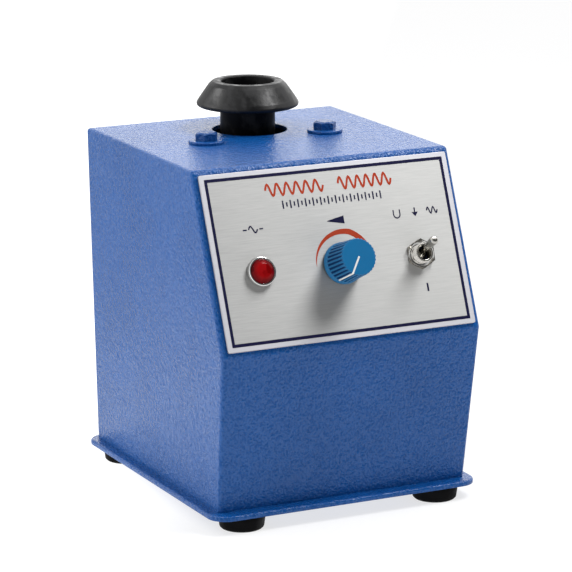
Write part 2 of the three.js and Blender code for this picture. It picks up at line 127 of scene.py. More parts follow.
# The knob's flutes, their depth, and its lower and upper heights with the radius at each.
KNOB = {"flutes": 30, "depth": 0.8, "low": 2.2, "high": 19.7, "back": 9.75, "face": 8.95}


# ---- Mesh helpers ----

def add_object(name, bm, *materials, sharp=35):
    """Turns a bmesh into an object at the origin, smooth except at edges sharper than that many degrees."""
    bmesh.ops.recalc_face_normals(bm, faces=bm.faces)
    mesh = bpy.data.meshes.new(name)
    bm.to_mesh(mesh)
    bm.free()
    for material in materials:
        mesh.materials.append(material)
    obj = bpy.data.objects.new(name, mesh)
    bpy.context.scene.collection.objects.link(obj)
    smooth(obj, sharp)
    return obj


def smooth(obj, sharp=35):
    obj.data.polygons.foreach_set("use_smooth", [True] * len(obj.data.polygons))
    obj.data.set_sharp_from_angle(angle=math.radians(sharp))


def settle(obj):
    """Applies the object's modifiers to its mesh."""
    graph = bpy.context.evaluated_depsgraph_get()
    mesh = bpy.data.meshes.new_from_object(obj.evaluated_get(graph))
    obj.modifiers.clear()
    obj.data = mesh


def carve(obj, *tools, operation="DIFFERENCE"):
    for tool in tools:
        cut = obj.modifiers.new("carve", "BOOLEAN")
        cut.operation = operation
        cut.solver = "EXACT"
        cut.object = tool
    settle(obj)
    for tool in tools:
        bpy.data.objects.remove(tool)
    smooth(obj)
    return obj


def even_normals(obj):
    """Keeps large flat faces flat where they run into small rounded edges."""
    weighted = obj.modifiers.new("even_normals", "WEIGHTED_NORMAL")
    weighted.keep_sharp = True
    return obj


def rounded(corners, steps=5):
    """A closed line through (a, b) corners; a corner given as (a, b, radius) becomes an arc."""
    line = []
    for i, corner in enumerate(corners):
        here = Vector(corner[:2])
        if len(corner) < 3:
            line.append(here)
            continue
        back = Vector(corners[i - 1][:2]) - here
        ahead = Vector(corners[(i + 1) % len(corners)][:2]) - here
        half = back.angle(ahead) / 2
        reach = min(corner[2] / math.tan(half), back.length * 0.49, ahead.length * 0.49)
        back.normalize()
        ahead.normalize()
        centre = here + (back + ahead).normalized() * reach / math.cos(half)
        radius = reach * math.tan(half)
        start = (here + back * reach - centre).normalized()
        end = (here + ahead * reach - centre).normalized()
        line += [centre + start.slerp(end, step / steps) * radius for step in range(steps + 1)]
    return line


def ring_of(bm, points, at):
    return [bm.verts.new(at @ Vector(point)) for point in points]


def bridge(bm, rings):
    """Joins each ring of vertices to the next; where a ring is one vertex repeated, with triangles."""
    for ring, following in zip(rings, rings[1:]):
        for i in range(len(ring)):
            j = (i + 1) % len(ring)
            corners = list(dict.fromkeys((ring[i], ring[j], following[j], following[i])))
            if len(corners) > 2:
                bm.faces.new(corners)


def lathe(bm, outline, at, steps=72):
    """Spins a closed outline of (radius, height) around the place's Z."""
    turns = [step / steps * math.tau for step in range(steps)]
    rings = []
    for radius, height in outline:
        if radius < 1e-6:
            rings.append(ring_of(bm, [(0, 0, height)], at) * steps)
            continue
        circle = [(radius * math.cos(a), radius * math.sin(a), height) for a in turns]
        rings.append(ring_of(bm, circle, at))
    bridge(bm, rings + rings[:1])
    return bm


def turned(name, outline, at, *materials, steps=72, sharp=35):
    return add_object(name, lathe(bmesh.new(), outline, at, steps), *materials, sharp=sharp)


def rod(radius, low, high, at, steps=48):
    """A plain cutter for holes."""
    return turned("cutter", [(0, low), (radius, low), (radius, high), (0, high)], at, steps=steps)


def extrude(bm, outline, low, high, at):
    """A closed solid between two heights on a closed outline."""
    bottom, top = (ring_of(bm, [(x, y, z) for x, y in outline], at) for z in (low, high))
    caps = [bm.faces.new(bottom[::-1]), bm.faces.new(top)]
    bridge(bm, [bottom, top])
    return caps


def soften(bm, width, segments=3, faces=None):
    """Rounds every sharp edge, or only the outlines of some faces. The width is in millimetres."""
    if faces:
        edges = list({edge for face in faces for edge in face.edges})
    else:
        edges = [edge for edge in bm.edges if edge.calc_face_angle(0) > math.radians(40)]
    bmesh.ops.bevel(bm, geom=edges, offset=width * MM, segments=segments, profile=0.5, affect="EDGES",
                    clamp_overlap=True)


def rectangle(x0, x1, y0, y1, corner=0.0, steps=6):
    corners = [(x0, y0), (x1, y0), (x1, y1), (x0, y1)]
    return rounded([(x, y, corner) for x, y in corners], steps) if corner else corners


def polygon(sides, across_flats, turn=0.0):
    radius = across_flats / 2 / math.cos(math.pi / sides)
    turns = [turn + side / sides * math.tau for side in range(sides)]
    return [(radius * math.cos(a), radius * math.sin(a)) for a in turns]


def plate(name, outline, low, high, at, *materials, edge=0.3, segments=3):
    """A flat solid with rounded rims."""
    bm = bmesh.new()
    caps = extrude(bm, outline, low, high, at)
    soften(bm, edge, segments, caps)
    return even_normals(add_object(name, bm, *materials))


def block(name, x, y, z, at, *materials, edge=0.4):
    """A box with rounded edges from (low, high) ranges."""
    bm = bmesh.new()
    extrude(bm, rectangle(*x, *y), *z, at)
    soften(bm, edge)
    return even_normals(add_object(name, bm, *materials))


def hex_piece(name, across_flats, low, high, at, *materials, turn=0.0, both=False, bore=None, crown=0.96):
    """A hexagon cut back by a cone to a round top crown times its width; its lower corners too if both."""
    bm = bmesh.new()
    extrude(bm, polygon(6, across_flats, turn), low, high, at)
    obj = add_object(name, bm, *materials, sharp=20)
    corner = across_flats / math.sqrt(3)
    flat = across_flats / 2 * crown
    slant = math.tan(math.radians(30))
    drop = (corner + 1 - flat) * slant
    over = 0.4  # how far the cone runs past the hexagon's ends
    past = flat - over / slant
    foot = [(0, low - 1), (corner + 1, low - 1)]
    if both:
        foot = [(0, low - over), (past, low - over), (corner + 1, low + drop)]
    cone = foot + [(corner + 1, high - drop), (past, high + over), (0, high + over)]
    carve(obj, turned("cutter", cone, at, steps=96), operation="INTERSECT")
    if bore:
        carve(obj, rod(bore, low - 2, high + 2, at))
    smooth(obj, 20)
    return obj


def threaded(radius, low, high, pitch=0.8, depth=0.3):
    """(radius, height) points of a thread's crests and roots, going up."""
    turns = max(1, round((high - low) / pitch))
    step = (high - low) / turns
    points = []
    for turn in range(turns):
        base = low + turn * step
        points += [(radius - depth, base), (radius, base + step * 0.4), (radius, base + step * 0.6)]
    return points + [(radius - depth, high)]


def ribbon(bm, path, width, low, high, at, closed=False, ink=0):
    """A flat strip of ink along a path; width is a number or a function of how far along it is, 0 to 1."""
    count = len(path)
    rows = []
    for i, here in enumerate(path):
        before = path[i - 1] if i or closed else here
        after = path[(i + 1) % count] if i < count - 1 or closed else here
        first = (here - before).normalized() if here != before else (after - here).normalized()
        second = (after - here).normalized() if after != here else first
        side = Vector((-first.y - second.y, first.x + second.x)).normalized()
        reach = (width(i / (count - 1)) if callable(width) else width) / 2
        reach /= max(0.5, side.dot(Vector((-second.y, second.x))))
        ends = (here - side * reach, here + side * reach)
        rows.append([bm.verts.new(at @ Vector((p.x, p.y, z))) for z in (low, high) for p in ends])
    pairs = list(zip(rows, rows[1:])) + ([(rows[-1], rows[0])] if closed else [])
    faces = []
    for a, b in pairs:
        for i, j in ((0, 1), (1, 3), (3, 2), (2, 0)):
            faces.append(bm.faces.new((a[i], a[j], b[j], b[i])))
    if not closed:
        faces += [bm.faces.new([row[i] for i in (0, 1, 3, 2)]) for row in (rows[0], rows[-1])]
    for face in faces:
        face.material_index = ink


# ---- Material helpers ----

class Nodes:
    """A node tree under construction: each call adds a node and returns the socket to wire on."""

    def __init__(self, tree):
        self.nodes, self.links = tree.nodes, tree.links

    def wire(self, node, values):
        for name, value in values.items():
            socket = node.inputs[name.replace("_", " ") if isinstance(name, str) else name]
            if isinstance(value, bpy.types.NodeSocket):
                self.links.new(value, socket)
            else:
                socket.default_value = value

    def node(self, kind, output=0, inputs=None, **settings):
        node = self.nodes.new("ShaderNode" + kind)
        for name, value in settings.items():
            setattr(node, name, value)
        self.wire(node, inputs or {})
        return node.outputs[output]

    def math(self, operation, a, b=0.0):
        return self.node("Math", inputs={0: a, 1: b}, operation=operation)

    def vector(self, operation, a, b, output="Value"):
        return self.node("VectorMath", output, {0: a, 1: b}, operation=operation)

    def spread(self, value, low, high, start, end, ease="LINEAR"):
        """Maps low..high of a value to start..end, and holds it there outside."""
        return self.node("MapRange", "Result", {"Value": value, "From_Min": low, "From_Max": high,
                                                "To_Min": start, "To_Max": end}, interpolation_type=ease)


class Finish(Nodes):
    """A material and its shader."""

    def __init__(self, name, colour, roughness, metallic=0.0, **more):
        self.material = bpy.data.materials.new(name)
        self.material.use_nodes = True
        super().__init__(self.material.node_tree)
        self.shader = self.nodes["Principled BSDF"]
        self.place = self.node("TexCoord", "Object")
        self.set(Base_Color=(*colour, 1), Roughness=roughness, Metallic=metallic, **more)

    def set(self, **values):
        self.wire(self.shader, values)

    def done(self, colour, roughness, normal, **more):
        self.set(Base_Color=colour, Roughness=roughness, Normal=normal, **more)
        return self.material

    def stretch(self, scale, turn=(0, 0, 0)):
        """The object's coordinates, turned and then scaled along each axis."""
        turned_place = self.node("Mapping", inputs={"Vector": self.place, "Rotation": turn})
        return self.node("Mapping", inputs={"Vector": turned_place, "Scale": scale})

    def noise(self, scale, detail=2.0, roughness=0.5, vector=None):
        return self.node("TexNoise", "Fac", {"Vector": vector or self.place, "Scale": scale,
                                             "Detail": detail, "Roughness": roughness})

    def cells(self, scale, randomness, output="Distance"):
        return self.node("TexVoronoi", output, {"Vector": self.place, "Scale": scale,
                                                "Randomness": randomness}, feature="F1")

    def tone(self, scale, randomness, low, high):
        """One level from 0 to 1 for each cell."""
        colour = self.cells(scale, randomness, "Color")
        return self.spread(self.node("RGBToBW", 0, {0: colour}), low, high, 0, 1)

    def mix(self, share, first, second):
        """Mixes two colours; 6, 7 and 2 are the Mix node's colour sockets."""
        as_colour = [v if isinstance(v, bpy.types.NodeSocket) else (*v, 1) for v in (first, second)]
        return self.node("Mix", 2, {0: share, 6: as_colour[0], 7: as_colour[1]}, data_type="RGBA")

    def blend(self, value, low, high, first, second, start=0, end=1):
        """Mixes two colours by where a value lies from low to high."""
        return self.mix(self.spread(value, low, high, start, end), first, second)

    def bump(self, height, strength, distance):
        return self.node("Bump", inputs={"Height": height, "Strength": strength, "Distance": distance * MM})

    def around(self, seat):
        """Distances in metres from a seat's axis, and out along it from the seat, as sockets."""
        offset = self.vector("SUBTRACT", self.place, seat.translation, 0)
        axis = seat.to_3x3().normalized() @ UP
        height = self.vector("DOT_PRODUCT", offset, axis)
        along = self.node("VectorMath", inputs={0: axis, 3: height}, operation="SCALE")
        radial = self.vector("SUBTRACT", offset, along, 0)
        return self.node("VectorMath", "Value", {0: radial}, operation="LENGTH"), height

    def on_panel(self):
        """Distances in metres right of and up the slope from the panel's middle, as sockets."""
        centre = panel_seat @ Vector((0, -44.9, 0))
        offset = self.vector("SUBTRACT", self.place, centre, 0)
        return self.vector("DOT_PRODUCT", offset, RIGHT), self.vector("DOT_PRODUCT", offset, slope_up)


def tint(colour, factor, lift=0.0):
    return tuple(min(1, c * factor + lift) for c in colour)


# ---- Materials ----

def hammer_paint(name, shade=1.0):
    """Glossy blue stoving enamel with a fine hammered skin; a shade below 1 darkens it as painted shade."""
    f = Finish(name, (0.006, 0.085, 0.31), 0.2, IOR=1.45)
    slanted = f.stretch((1.0, 1.0, 0.72), (math.radians(35), math.radians(20), math.radians(25)))
    fine = f.noise(980, 1.5, 0.5, slanted)
    broad = f.noise(400, 1.0, 0.5, slanted)
    height = f.math("ADD", f.math("MULTIPLY", fine, 0.85), f.math("MULTIPLY", broad, 0.55))
    low, high, pits = (tint(colour, shade) for colour in
                       ((0.004, 0.076, 0.290), (0.006, 0.088, 0.330), (0.001, 0.038, 0.185)))
    coat = f.blend(f.noise(24, 3), 0.35, 0.65, low, high)
    return f.done(f.blend(fine, 0.36, 0.54, coat, pits, 0.35, 0),
                  f.spread(fine, 0.3, 0.7, 0.27, 0.19),
                  f.bump(height, 1.0, 0.85),
                  Specular_IOR_Level=f.spread(fine, 0.36, 0.54, 0.22, 0.5))


def brushed_plate():
    """Satin sheet brushed along X, so that reflections spread up and down; its border is less worn."""
    f = Finish("brushed_plate", (0.55, 0.55, 0.545), 0.6, 1.0, Anisotropic=0.62)
    tilt = math.atan2(-slope_out.y, slope_out.z)
    streaks = f.noise(1.0, 3, 0.65, f.stretch((90, 2600, 2600), (tilt, 0, 0)))
    grey = f.blend(streaks, 0.36, 0.64, (0.424, 0.424, 0.421), (0.462, 0.462, 0.455))
    grey = f.blend(f.noise(34, 3), 0.3, 0.7, grey, (0.36, 0.37, 0.37), 0.22, 0)
    across, up = f.on_panel()
    # Painted light: the sheet is lighter towards the right.
    grey = f.blend(across, -0.066, 0.066, grey, (0.72, 0.72, 0.70), 0, 0.3)
    beyond_x = f.math("SUBTRACT", f.math("ABSOLUTE", across), 0.0632)
    beyond_y = f.math("SUBTRACT", f.math("ABSOLUTE", up), 0.0395)
    beyond = f.math("MAXIMUM", beyond_x, beyond_y)
    return f.done(f.blend(beyond, 0, 0.0002, grey, (0.57, 0.57, 0.62), 0, 0.75),
                  f.spread(streaks, 0.3, 0.7, 0.64, 0.57),
                  f.bump(streaks, 0.07, 0.03),
                  Tangent=f.node("CombineXYZ", inputs=dict(zip("XYZ", slope_up))))


def ink(name, colour):
    """Screen ink with pinholes and a slightly uneven coat."""
    f = Finish(name, colour, 0.45, Specular_IOR_Level=0.25)
    worn = f.noise(1900, 2)
    return f.done(f.blend(worn, 0.55, 0.8, colour, tint(colour, 1.6, 0.01), 0, 0.6),
                  f.spread(worn, 0.3, 0.7, 0.38, 0.55),
                  f.bump(worn, 0.1, 0.02))


def plated(name, colour, roughness, scratches=0.06):
    """Plated or polished metal with fine wear and finger-dulled patches."""
    f = Finish(name, colour, roughness, 1.0)
    haze = f.noise(240, 3, 0.6)
    lines = f.noise(1.0, 2, 0.6, f.stretch((300, 2400, 900), (0.4, 0.2, 0.7)))
    return f.done(f.blend(haze, 0.45, 0.75, colour, tint(colour, 0.8), 0, 0.7),
                  f.spread(haze, 0.3, 0.7, roughness * 0.75, roughness * 1.5),
                  f.bump(lines, scratches, 0.03))


def zinc_steel():
    """Zinc-plated sheet and fasteners with a soft crystalline bloom."""
    f = Finish("zinc_steel", (0.56, 0.57, 0.58), 0.36, 0.95)
    grain = f.noise(900, 3)
    return f.done(f.mix(f.tone(420, 1.0, 0.2, 0.8), (0.50, 0.51, 0.52), (0.60, 0.61, 0.62)),
                  f.spread(grain, 0.3, 0.7, 0.28, 0.46),
                  f.bump(grain, 0.12, 0.04))


def rubber(name, colour, roughness, dust, seat, within, under):
    """Moulded rubber with a dry bloom, fine pitting and handling smears.

    It shines less within a radius of the seat's axis and under a height above it, where little light gets.
    """
    f = Finish(name, colour, roughness, IOR=1.4)
    radius, height = f.around(seat)
    open_air = f.math("MULTIPLY", f.spread(height, under - 0.001, under + 0.001, 0, 1),
                      f.spread(radius, within - 0.0008, within + 0.0004, 0, 1))
    pits = f.noise(1300, 3, 0.6)
    smear = f.noise(1.0, 4, 0.62, f.stretch((150, 150, 90), (0.5, 0.3, 0)))
    return f.done(f.blend(smear, 0.46, 0.66, colour, tint(colour, 1.5, 0.022), 0, dust),
                  f.spread(smear, 0.38, 0.62, roughness * 0.7, min(1, roughness * 1.4)),
                  f.bump(f.math("ADD", pits, f.math("MULTIPLY", smear, 2.0)), 0.3, 0.12),
                  Specular_IOR_Level=f.spread(open_air, 0, 1, 0.1, 0.45))


def plastic(name, colour, roughness, relief=0.1):
    """Moulded plastic with a spark-eroded grain."""
    f = Finish(name, colour, roughness)
    fine = f.noise(900, 2.5, 0.6)
    return f.done(f.blend(f.noise(45, 2), 0.35, 0.65, tint(colour, 0.86), colour),
                  f.spread(fine, 0.3, 0.7, roughness * 0.85, roughness * 1.2),
                  f.bump(fine, relief, 0.05))


def lens_red():
    """Deep red lens, darker at its rim as painted shade, with painted glints in place of the facets behind
    it.
    """
    f = Finish("lens_red", (0.20, 0.001, 0.002), 0.16, IOR=1.2, Specular_IOR_Level=0.35)
    radius = f.around(lamp_seat)[0]
    # Painted glints: cells of lighter red stand in for light off facets inside the lamp.
    glint = f.tone(250, 0.8, 0.3, 0.85)
    inner = f.mix(glint, (0.14, 0.0005, 0.001), (0.36, 0.006, 0.008))
    # Painted shade: the red darkens towards the rim.
    body = f.blend(radius, 0.0036, 0.0060, inner, (0.045, 0.0, 0.002), 0, 0.85)
    return f.done(body, f.spread(glint, 0, 1, 0.12, 0.22), f.bump(f.cells(300, 0.8), 0.2, 0.25),
                  Emission_Color=body, Emission_Strength=0.04)


def knob_plastic():
    """Blue moulding, with painted shade at the bottoms of its flutes."""
    f = Finish("knob_blue", (0.004, 0.135, 0.32), 0.34, IOR=1.42)
    radius, height = f.around(knob_seat)
    ridge = f.spread(height, *(KNOB[size] * MM for size in ("low", "high", "back", "face")))
    sunk = f.math("SUBTRACT", ridge, radius)
    wall = f.spread(height, (KNOB["high"] - 0.5) * MM, (KNOB["high"] - 0.1) * MM, 1, 0)
    # Painted shade: darker and less shiny down in the flutes, fading out just under the face.
    groove_shade = f.math("MULTIPLY", f.spread(sunk, 0.0001, 0.0005, 0, 0.95), wall)
    grain = f.noise(900, 2)
    blue = f.blend(f.noise(40, 2), 0.3, 0.7, (0.004, 0.128, 0.305), (0.005, 0.142, 0.335))
    return f.done(f.mix(groove_shade, blue, (0.001, 0.026, 0.105)),
                  f.spread(grain, 0.3, 0.7, 0.28, 0.4),
                  f.bump(grain, 0.1, 0.05),
                  Specular_IOR_Level=f.spread(groove_shade, 0, 1, 0.55, 0.1))


def laminations():
    """A stack of electrical steel sheets."""
    f = Finish("laminations", (0.16, 0.165, 0.17), 0.45, 0.8)
    sheets = f.node("TexWave", "Fac", {"Vector": f.place, "Scale": 320, "Distortion": 0.4, "Detail": 2.0},
                    wave_type="BANDS", bands_direction="Z")
    return f.done(f.mix(sheets, (0.07, 0.072, 0.075), (0.24, 0.245, 0.25)),
                  f.spread(sheets, 0, 1, 0.6, 0.38),
                  f.bump(sheets, 0.5, 0.1))


def cast_metal():
    """Sand-cast end cap in grey primer."""
    f = Finish("cast_metal", (0.12, 0.125, 0.13), 0.62, 0.5)
    sand = f.noise(520, 4, 0.65)
    return f.done(f.blend(sand, 0.35, 0.7, (0.08, 0.083, 0.088), (0.19, 0.195, 0.2)),
                  f.spread(sand, 0.3, 0.7, 0.7, 0.5),
                  f.bump(sand, 0.5, 0.15))


def lathe_turned(name, colour, centre, roughness=0.28):
    """Metal turned on a lathe: fine rings round the axis through centre."""
    f = Finish(name, colour, roughness, 1.0)
    centred = f.node("Mapping", inputs={"Vector": f.place, "Location": -centre})
    rings = f.node("TexWave", "Fac", {"Vector": centred, "Scale": 900, "Distortion": 1.2, "Detail": 3.0,
                                      "Detail_Scale": 1.5}, wave_type="RINGS", rings_direction="Z")
    return f.done(f.blend(f.noise(60, 3), 0.35, 0.65, tint(colour, 0.78), colour),
                  f.spread(rings, 0, 1, roughness * 0.8, roughness * 1.3),
                  f.bump(rings, 0.15, 0.03))


def circuit_board():
    """Green solder mask over tracks."""
    f = Finish("circuit_board", (0.012, 0.10, 0.032), 0.3, Coat_Weight=0.3)
    tracks = f.spread(f.cells(260, 0.9), 0.30, 0.34, 1, 0)
    return f.done(f.mix(tracks, (0.010, 0.075, 0.026), (0.03, 0.19, 0.06)),
                  f.spread(f.noise(1500, 2), 0.3, 0.7, 0.25, 0.4),
                  f.bump(tracks, 0.2, 0.03))


paint = hammer_paint("hammer_paint")
# The bolt heads get the case's paint darkened to three quarters, as painted shade.
bolt_paint_painted_shade = hammer_paint("bolt_paint_painted_shade", 0.75)
plate_metal = brushed_plate()
navy_ink = ink("navy_ink", (0.002, 0.002, 0.035))
red_ink = ink("red_ink", (0.42, 0.045, 0.014))
chrome = plated("chrome", (0.78, 0.78, 0.77), 0.09)
nickel = plated("nickel", (0.62, 0.60, 0.56), 0.17, 0.1)
# The lever's plating is darker than the bushing's, as painted shade for the dark it reflects.
lever_nickel_painted_shade = plated("lever_nickel_painted_shade", (0.44, 0.43, 0.40), 0.13)
zinc = zinc_steel()
cup_rubber = rubber("cup_rubber", (0.003, 0.003, 0.0035), 0.42, 0.7,
                    upright("rubber_cup"), 0.0137, case_high.z + 0.011)
foot_rubber = rubber("foot_rubber", (0.0015, 0.0015, 0.002), 0.55, 0.1, ground, 1.0, 1.0)
lens = lens_red()
knob_blue = knob_plastic()
pointer_white = plastic("pointer_white", (0.82, 0.82, 0.80), 0.4)
black = plastic("black_plastic", (0.012, 0.012, 0.013), 0.42, relief=0.16)
white = plastic("white_plastic", (0.66, 0.64, 0.58), 0.45)
yellow = plastic("film_yellow", (0.62, 0.36, 0.04), 0.4)
sleeve_blue = plastic("sleeve_blue", (0.02, 0.05, 0.22), 0.3)
core = laminations()
casting = cast_metal()
board_green = circuit_board()
aluminium = lathe_turned("turned_aluminium", (0.66, 0.66, 0.65), middle("cup_hub"))
turned_steel = lathe_turned("turned_steel", (0.48, 0.48, 0.49), middle("rotor"))
brass = lathe_turned("turned_brass", (0.62, 0.42, 0.14), middle("rotor"))
sheet_aluminium = plated("sheet_aluminium", (0.60, 0.60, 0.60), 0.34, 0.2)


# ---- Shared steps for pieces ----

def stand_for(obj, node):
    """Rides the piece on its node's body and hides the node."""
    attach(obj, frame["nodes"][node]["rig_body"])
    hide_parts(node)


def add_detail(obj, body="root"):
    """A piece with no CAD node of its own."""
    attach(obj, body)


# ---- Case and base ----

WALL = 2.0
FOLD = 3.5  # radius of the folds across the case
SEAM = 1.9  # radius of the ground seams down its sides
HOLES = {"lamp": 6.1, "knob": 3.9, "toggle": 5.1}
HANDS = ("left", "right")
CORNERS = [f"{end}_{hand}" for end in ("front", "back") for hand in HANDS]


def case_corners():
    """(y, z, half width) of the side outline in millimetres, from the case's own box."""
    low, high = case_low / MM, case_high / MM
    return [
        (high.y - 4, low.z, high.x - 2.4),
        (low.y + 10, low.z, high.x - 2.4),
        (low.y, low.z + 78, high.x),
        (low.y + 34, high.z, high.x - 0.3),
        (high.y, high.z, high.x - 0.3),
    ]


def front_holes(low, high):
    """Cutters for the lamp, the speed control and the toggle."""
    seats = (lamp_seat, HOLES["lamp"]), (knob_seat, HOLES["knob"]), (toggle_seat, HOLES["toggle"])
    return [rod(radius, low, high, seat) for seat, radius in seats]


def make_case():
    """A hull of the side outline, opened below, rounded along its edges and given its wall and holes."""
    corners = case_corners()
    bm = bmesh.new()
    for y, z, half in corners:
        for side in (-1, 1):
            bm.verts.new(ground @ Vector((side * half, y, z)))
    bmesh.ops.convex_hull(bm, input=bm.verts)
    bmesh.ops.dissolve_limit(bm, angle_limit=math.radians(0.1), verts=bm.verts, edges=bm.edges)
    open_faces = [face for face in bm.faces if all(abs(v.co.z - case_low.z) < 1e-6 for v in face.verts)]
    bmesh.ops.delete(bm, geom=open_faces, context="FACES_ONLY")
    obj = add_object("case_shell", bm, paint, sharp=20)
    weigh_case_edges(obj.data)
    bevel = obj.modifiers.new("rounding", "BEVEL")
    bevel.limit_method = "WEIGHT"
    bevel.width = FOLD * MM
    bevel.segments = 5
    wall = obj.modifiers.new("wall", "SOLIDIFY")
    wall.thickness = WALL * MM
    wall.offset = -1
    wall.use_even_offset = True
    settle(obj)
    drive_hole = rod(18.8, -5, 5, upright("rotor", case_high.z), steps=96)
    bolts = [rod(3.4, -5, 5, upright(f"suspension_bolt_{hand}", case_high.z)) for hand in HANDS]
    backs = [rod(6.2, -8, 8, gland_seat), rod(6.4, -8, 8, fuse_seat)]
    carve(obj, drive_hole, *bolts, *front_holes(-6, 6), *backs)
    stand_for(even_normals(obj), "body_casing")


def weigh_case_edges(mesh):
    """Sets each edge's share of the bevel, so that folds and seams get their own radius."""
    weights = mesh.attributes.new("bevel_weight_edge", "FLOAT", "EDGE")
    normals = {}
    for face in mesh.polygons:
        for key in face.edge_keys:
            normals.setdefault(key, []).append(face.normal)
    for edge in mesh.edges:
        beside = normals[edge.key]
        turn = beside[0].angle(beside[-1])  # 0 round the open foot, where an edge has one face
        if turn < math.radians(6):
            continue
        a, b = (mesh.vertices[v].co for v in edge.vertices)
        radius = FOLD if abs((b - a).normalized().x) > 0.9 else SEAM
        weights.data[edge.index].value = radius * math.tan(turn / 2) / FOLD


# The back wall leans in a little towards its foot.
back_out = Vector((0, 160.5, -4)).normalized()


def on_back(node):
    """A place on the back wall at a round piece's axis; Z runs out and Y down."""
    corners = case_corners()
    foot = Vector((0, corners[0][0], corners[0][1])) * MM
    at = middle(node)
    return place(at - back_out * (at - foot).dot(back_out), back_out, -RIGHT)


gland_seat = on_back("cable_gland")
fuse_seat = on_back("fuse_holder")


def make_base():
    """A thick sheet whose rim is rolled over: rows of rounded rectangles, each set in a little more."""
    low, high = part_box("base_plate")
    size = (high - low) / 2 / MM
    thick = size.z * 2
    roll, corner = 1.15, 9.5
    rows = [(0.4, 0.0), (0.1, 0.1), (0.0, 0.4)]
    for step in range(6):
        turn = math.radians(90 * step / 5)
        rows.append((roll * (1 - math.cos(turn)), thick - roll * (1 - math.sin(turn))))
    bm = bmesh.new()
    rings = []
    for inset, z in rows:
        x, y = size.x - inset, size.y - inset
        outline = rectangle(-x, x, -y, y, corner - inset, 12)
        rings.append(ring_of(bm, [(*spot, z) for spot in outline], upright("base_plate", low.z)))
    bm.faces.new(rings[0][::-1])
    bm.faces.new(rings[-1])
    bridge(bm, rings)
    obj = add_object("base_sheet", bm, paint)
    holes = [rod(radius, -1, 5, upright(f"{kind}_screw_{spot}", low.z))
             for kind, radius in (("base", 2.1), ("foot", 2.3)) for spot in CORNERS]
    carve(obj, rod(2.3, -1, 5, upright("guide_post", low.z)), *holes)
    stand_for(even_normals(obj), "base_plate")


def make_foot(spot):
    low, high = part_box(f"foot_{spot}")
    height, radius = high.z / MM, (high.x - low.x) / 2 / MM
    outline = rounded([(2.3, height), (radius, height, 0.25), (radius, height - 1.8, 0.6),
                       (radius - 0.6, 0.9, 0.6), (radius - 1.5, 0, 0.6), (4.6, 0, 0.3), (4.6, 3, 0.3),
                       (2.3, 3)], 4)
    obj = turned(f"rubber_foot_{spot}", outline, upright(f"foot_{spot}"), foot_rubber)
    stand_for(obj, f"foot_{spot}")


def make_screw(node, name):
    """A pan-head screw seen from below, with a cross recess and a threaded shank."""
    low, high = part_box(node)
    radius, length = (high.x - low.x) / 2 / MM, (high.z - low.z) / MM
    shank = 1.6 if node.startswith("foot") else 1.8
    head = 2.2
    outline = rounded([(0, 0), (radius * 0.75, 0, 0.5), (radius, 0.9, 0.4), (radius, head, 0.15),
                       (shank, head, 0.1)], 4)[1:]
    outline = [(0, 0)] + outline + threaded(shank, head + 0.3, length - 0.6, 0.7, 0.22) + [(0, length)]
    at = upright(node, low.z)
    obj = turned(name, outline, at, zinc, steps=32)
    arms = [block("cutter", (-0.35, 0.35), (-1.7, 1.7), (-1, 1.1), at, edge=0.05),
            block("cutter", (-1.7, 1.7), (-0.35, 0.35), (-1, 1.1), at, edge=0.05)]
    carve(obj, *arms)
    stand_for(obj, node)


make_case()
make_base()
for spot in CORNERS:
    make_foot(spot)
    make_screw(f"foot_screw_{spot}", f"foot_fixing_{spot}")
    make_screw(f"base_screw_{spot}", f"base_fixing_{spot}")


# ---- Front panel and its print ----

PANEL = {"half": 66.0, "top": -2.7, "bottom": -87.2, "back": 0.3, "face": 1.4}
INK = 0.05  # thickness of the print


def make_panel():
    outline = rectangle(-PANEL["half"], PANEL["half"], PANEL["bottom"], PANEL["top"], 1.0, 4)
    obj = plate("panel_sheet", outline, PANEL["back"], PANEL["face"], panel_seat, plate_metal, edge=0.25)
    carve(obj, *front_holes(-1, 3))
    stand_for(even_normals(obj), "front_panel")


def arc(x, y, radius, start, end, steps=32):
    """Points on a circle from one angle to another, in degrees."""
    turns = [math.radians(start + (end - start) * step / steps) for step in range(steps + 1)]
    return [Vector((x + radius * math.cos(a), y + radius * math.sin(a))) for a in turns]


def wave(x0, x1, y, height, waves):
    steps = waves * 16
    spots = [step / steps for step in range(steps + 1)]
    return [Vector((x0 + (x1 - x0) * t, y + height / 2 * math.sin(t * waves * math.tau))) for t in spots]


